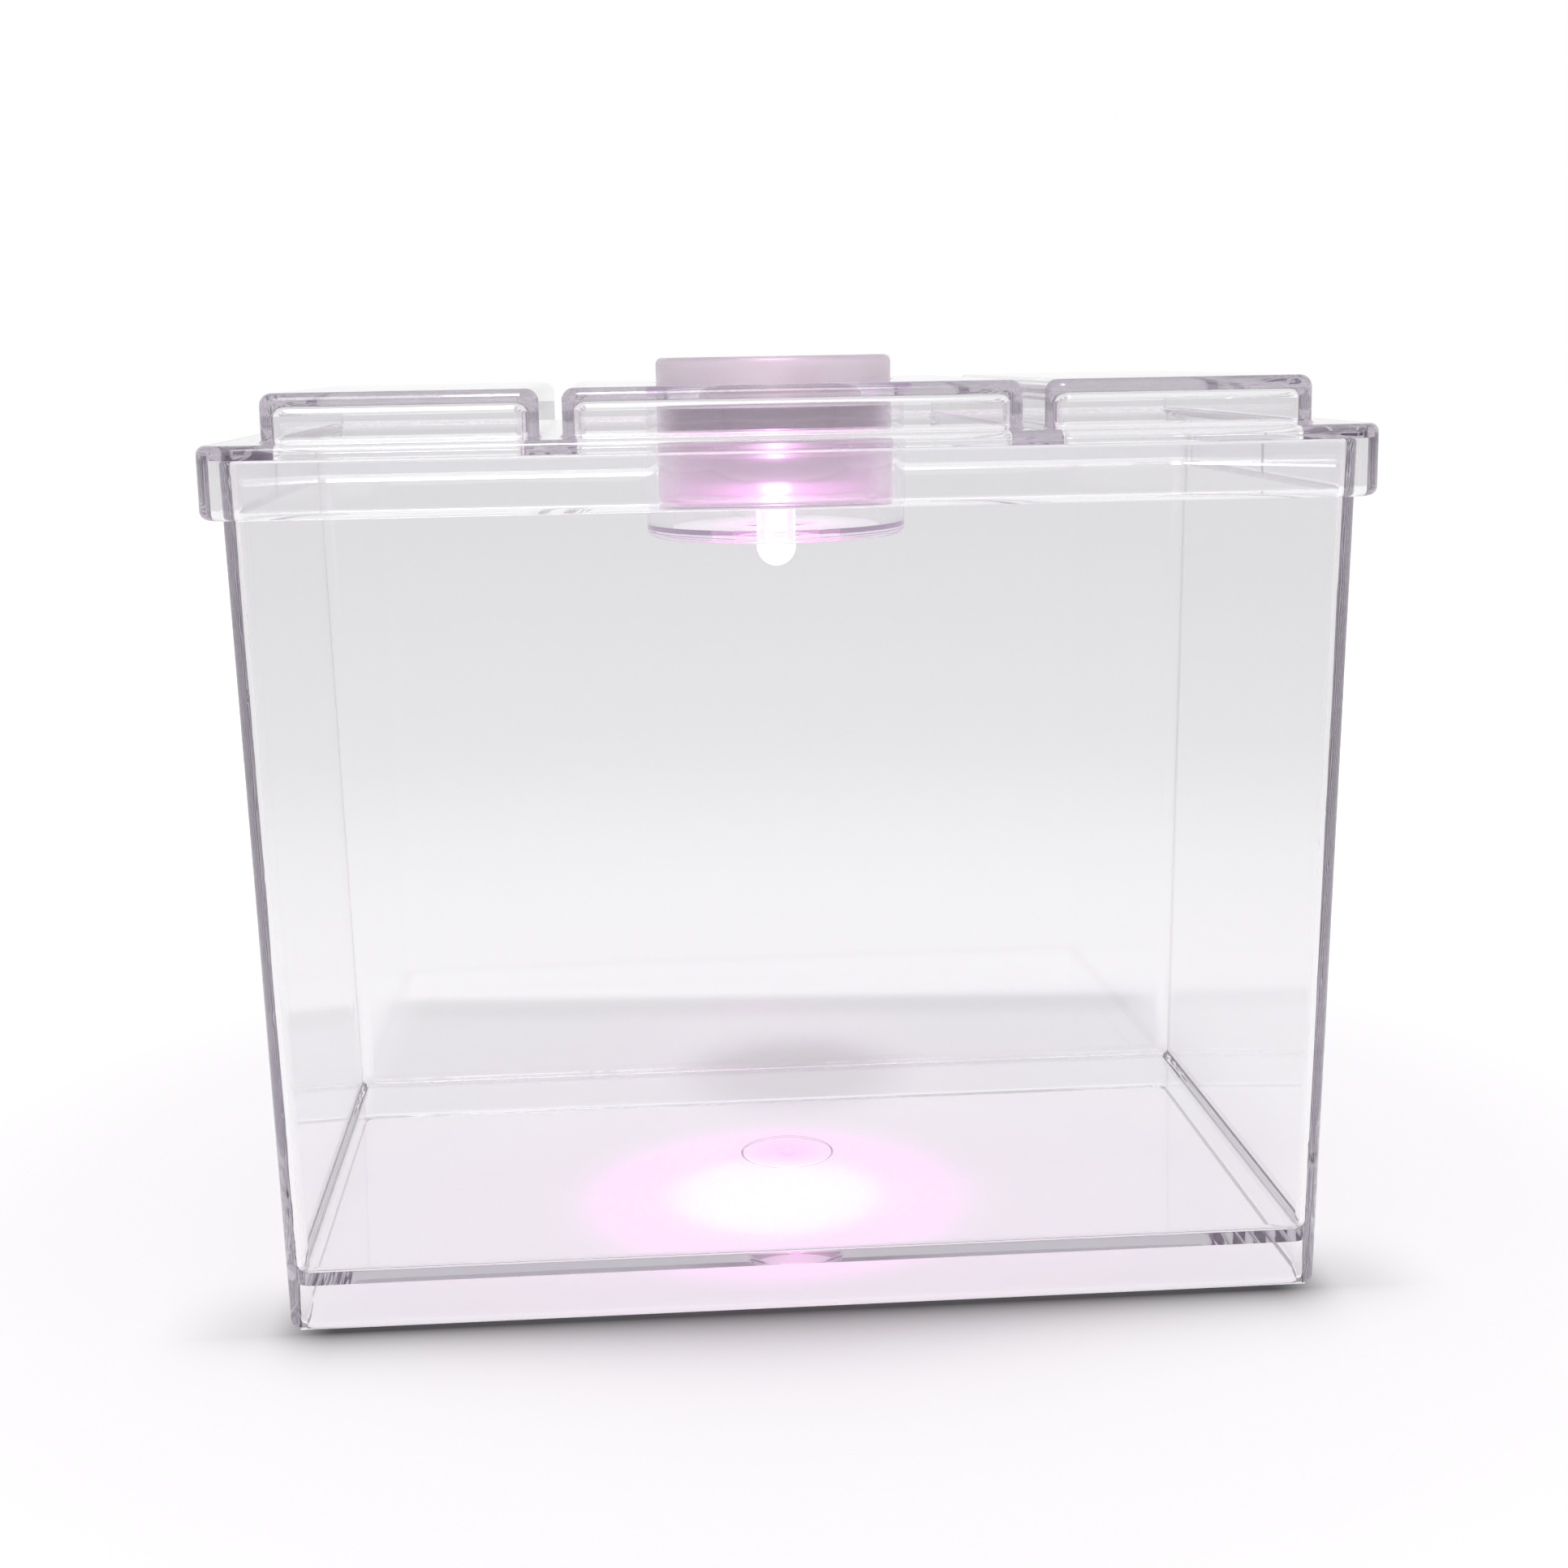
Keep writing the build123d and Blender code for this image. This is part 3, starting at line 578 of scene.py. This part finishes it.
def clear_plastic(name, *light):
    """Polished clear plastic, with the light's pink painted in about a place on the axis where one is given.
    """
    material, tree, shader, output = finish(
        name, Base_Color=(*CLEAR_BASE, 1), IOR=ACRYLIC_IOR, Transmission_Weight=1.0
    )
    surface(tree, shader, moulded_skin, CLEAR_DEPTH, Roughness=0.0, Smudge=0.012, Scratch=0.05)
    let_lamps_through(tree, shader, output, CLEAR_SHADOW)
    tint = put(tree, "ShaderNodeVolumeAbsorption", 400, -200)
    tint.inputs["Color"].default_value = CLEAR_TINT
    tint.inputs["Density"].default_value = CLEAR_DENSITY
    wire(tree, tint.outputs[0], output.inputs["Volume"])
    if light:
        lit = glow(tree, shader, *light)
        # The light's pink, painted into the plastic's colour.
        tones(tree, shader, lit.outputs["Share"], CLEAR_BASE, PAINTED_LIGHT_PINK)
    return material


# The numbers are the painted light's height, its reach and its power, and its even painted glow.
dress(clear_plastic("polished_clear_lid"), "lid")
dress(clear_plastic("polished_clear_tank", 0.0060, 0.0048, 0.22), "tank")
dress(clear_plastic("polished_clear_cup", 0.0912, 0.0058, 0.46, 0.010), "lamp_cup")

# %% [markdown]
# ## The lamp's shells
# The lamp is moulded in a milky lavender plastic that blurs what is behind it. Rough glass does
# that: the band seal lies against the shell and shows as a crisp dark band, and the cell stands
# three millimetres behind it and shows as a soft one. Where the light comes out, the shell's pink
# is painted light, a glow in the plastic.

# %% Frosted lavender plastic
FROSTED_SHADOW = (0.78, 0.70, 0.78)
FROSTED_DEPTH = 0.00002
FROSTED_SKIN = dict(Smudge=0.05, Scratch=0.12, Grain=0.15)


def frosted_plastic(name, base, roughness, clear_share, *light):
    """Milky plastic that blurs what is behind it, with a painted pink glow about the light."""
    material, tree, shader, output = finish(
        name, Base_Color=(*base, 1), IOR=ACRYLIC_IOR, Transmission_Weight=clear_share
    )
    surface(tree, shader, moulded_skin, FROSTED_DEPTH, Roughness=roughness, **FROSTED_SKIN)
    let_lamps_through(tree, shader, output, FROSTED_SHADOW)
    glow(tree, shader, *light)
    return material


# The last four numbers are the painted light's height, its reach and its power, and its even painted glow.
housing_finish = frosted_plastic(
    "frosted_lavender_housing", (0.985, 0.96, 0.985), 0.24, 0.9, 0.0962, 0.0090, 0.34, 0.032
)
dress(housing_finish, "lamp_housing")
cap_finish = frosted_plastic(
    "frosted_lavender_cap", (0.945, 0.91, 0.935), 0.34, 0.78, 0.1088, 0.003, 1.2, 0.02
)
dress(cap_finish, "lamp_cap")

# %% [markdown]
# ## The light
# The light is a 5 mm diode in water-clear epoxy. Lit, it is so bright that its body looks white with
# a pink rim, so the epoxy glows a little all over and the die in its cup glows strongly. A milky
# silicone ring seals its flange.

# %% Water-clear epoxy
# Its pink tint and its glow are the die's light, painted into the clear epoxy.
epoxy, tree, shader, output = finish(
    "lit_epoxy", Base_Color=(1.0, 0.6, 0.96, 1), IOR=1.52, Transmission_Weight=1.0,
    Emission_Color=(1.0, 0.55, 0.95, 1), Emission_Strength=0.65,
)
surface(tree, shader, moulded_skin, 0.00001, Roughness=0.02, Smudge=0.02, Scratch=0.03)
let_lamps_through(tree, shader, output, (1, 0.98, 1))
dress(epoxy, "led_lens")

# %% The lit die
die, tree, shader, _ = finish(
    "lit_die", Base_Color=(1.0, 0.75, 0.95, 1), Roughness=0.4,
    Emission_Color=(1.0, 0.6, 0.95, 1), Emission_Strength=6.0,
)
surface(tree, shader, moulded_skin, 0.000005, Roughness=0.3, Smudge=0.2, Grain=0.4)
dress(die, "led_chip")

# %% Milky silicone
silicone, tree, shader, output = finish(
    "milky_silicone", Base_Color=(0.93, 0.88, 0.92, 1), IOR=1.41, Transmission_Weight=0.7
)
surface(tree, shader, moulded_skin, 0.00002, Roughness=0.34, Smudge=0.1, Grain=0.3)
let_lamps_through(tree, shader, output, (0.85, 0.8, 0.85))
# Near the diode the silicone shows the light's pink as painted light, a glow.
glow(tree, shader, 0.0945, 0.006, 1.2)
dress(silicone, "led_seal")

# %% [markdown]
# ## The seal and the cell
# The band seal is black rubber with the fine bloom of a moulded part. The cell is pressed steel,
# nickel plated and polished on a turning tool, so its shine breaks into rings. A dark nylon gasket
# parts its two poles.

# %% Rubber, steel and nylon
rubber, tree, shader, _ = finish("seal_rubber", Base_Color=(0.09, 0.04, 0.09, 1), Specular_IOR_Level=0.35)
surface(tree, shader, moulded_skin, 0.00003, Roughness=0.45, Smudge=0.25, Scratch=0.1, Grain=0.5)
dress(rubber, "cap_seal")

steel, tree, shader, _ = finish("nickel_plated_steel", Metallic=1.0)
worn_steel = surface(tree, shader, turned_metal, 0.00001, Roughness=0.18, Spread=0.22)
tones(tree, shader, worn_steel.outputs["Shade"], (0.50, 0.49, 0.50), (0.70, 0.69, 0.69))
dress(steel, "cell_can", "cell_cap")

nylon, tree, shader, _ = finish("gasket_nylon", Base_Color=(0.12, 0.12, 0.13, 1))
surface(tree, shader, moulded_skin, 0.00001, Roughness=0.4, Smudge=0.15, Grain=0.3)
dress(nylon, "cell_gasket")

# %% [markdown]
# ## The carrier, the leads and the contacts
# The carrier is natural polypropylene, milky enough to blur and clear enough to show the cell. The
# leads are tinned wire with drawing lines along them, and the contacts are stamped from spring
# sheet with a warm nickel plate.

# %% Natural plastic
natural, tree, shader, output = finish(
    "natural_carrier_plastic", Base_Color=(0.93, 0.92, 0.94, 1), IOR=ACRYLIC_IOR, Transmission_Weight=0.8
)
surface(tree, shader, moulded_skin, 0.00002, Roughness=0.3, Smudge=0.08, Grain=0.25)
let_lamps_through(tree, shader, output, (0.86, 0.82, 0.86))
# Near the diode the carrier shows the light's pink as painted light, a glow.
glow(tree, shader, 0.0955, 0.007, 0.5)
dress(natural, "cell_carrier")

# %% Drawn and stamped metal
SHEET_ROUGHNESS = (0.18, 0.42)
SHEET_DEPTH = 0.00001


def sheet_metal(name, dark, light, scale, stretch):
    """A metal with lines that run along one axis, darker and lighter in patches."""
    material, tree, shader, _ = finish(name, Metallic=1.0)
    place = put(tree, "ShaderNodeTexCoord", -1200, 0)
    lines = put(tree, "ShaderNodeMapping", -1000, 0)
    lines.inputs["Scale"].default_value = stretch
    wire(tree, place.outputs["Object"], lines.inputs["Vector"])
    drawn = noise(tree, lines.outputs[0], scale, 3, -800, 0)
    tones(tree, shader, drawn, dark, light)
    rough = put(tree, "ShaderNodeMapRange", -500, -100)
    for socket, value in zip(rough.inputs[3:5], SHEET_ROUGHNESS):
        socket.default_value = value
    bump = put(tree, "ShaderNodeBump", -300, -300)
    bump.inputs["Distance"].default_value = SHEET_DEPTH
    wire(tree, drawn, rough.inputs["Value"], rough.outputs[0], shader.inputs["Roughness"])
    wire(tree, drawn, bump.inputs["Height"], bump.outputs[0], shader.inputs["Normal"])
    return material


tinned = sheet_metal("tinned_lead", (0.60, 0.60, 0.62), (0.80, 0.80, 0.80), 9000, (1, 1, 0.05))
dress(tinned, "led_cathode_lead", "led_anode_lead")
spring = sheet_metal("nickel_spring_sheet", (0.66, 0.62, 0.55), (0.84, 0.81, 0.74), 7000, (0.05, 1, 1))
dress(spring, "contact_strip", "cap_contact")

# %% [markdown]
# ## The light of the lamp
# The diode throws a narrow bright cone inside a wider pink one, and a weak pink one outside both.
# On the table under the tank they make a round pool with a white middle, a little left of centre.
# Three spot lamps just below its tip do that, and weak point lamps light the cup's bottom and the
# lamp's shells pink. All of them ride on the lamp's body, so they lift with it.

# %% The beam
BEAM_TIP = (0, 0, 0.0861)
BEAM_END = (-0.0017, -0.0015, 0)
BEAM_SOURCE = 0.001


def cone(name, colour, power, degrees, blend=1.0):
    """A spot lamp at the diode's tip."""
    bpy.ops.object.light_add(type="SPOT")
    beam = bpy.context.object
    beam.name = name
    beam.data.color = colour
    beam.data.energy = power
    beam.data.spot_size = math.radians(degrees)
    beam.data.spot_blend = blend
    beam.data.shadow_soft_size = BEAM_SOURCE
    aim(beam, BEAM_TIP, BEAM_END)
    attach(beam, "lamp")
    print("cone:", name, degrees, "degrees")


cone("led_core", (1.0, 0.80, 0.98), 0.26, 22)
cone("led_halo", (1.0, 0.03, 0.88), 0.125, 39, 0.6)
cone("led_skirt", (1.0, 0.05, 0.80), 0.028, 90)

# %% The spill
SPILL_COLOUR = (1.0, 0.42, 0.92)


def small_lamp(name, height, power, size=0.0015):
    """A weak pink point lamp on the lamp's axis."""
    bpy.ops.object.light_add(type="POINT")
    lamp = bpy.context.object
    lamp.name = name
    lamp.data.color = SPILL_COLOUR
    lamp.data.energy = power
    lamp.data.shadow_soft_size = size
    lamp.location = (0, 0, height)
    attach(lamp, "lamp")
    print("small lamp:", name, "at height", height)


small_lamp("led_spill", 0.0915, 0.010)
small_lamp("floor_glow", 0.0957, 0.002)
small_lamp("gap_glow", 0.1022, 0.0020, 0.001)

# %% [markdown]
# ## The glass's bounces
# Light that enters a clear edge bounces many times before it leaves, and a path that is cut short
# turns black, so the bounces are generous. The colours are shown as they are, without a film look.

# %% Render settings that the glass needs
scene = bpy.context.scene
scene.cycles.max_bounces = 160
scene.cycles.transmission_bounces = 128
scene.cycles.glossy_bounces = 128
scene.cycles.transparent_max_bounces = 64
scene.view_settings.view_transform = "Standard"
print("bounces:", scene.cycles.max_bounces)

# %% The end
bpy.context.view_layer.update()
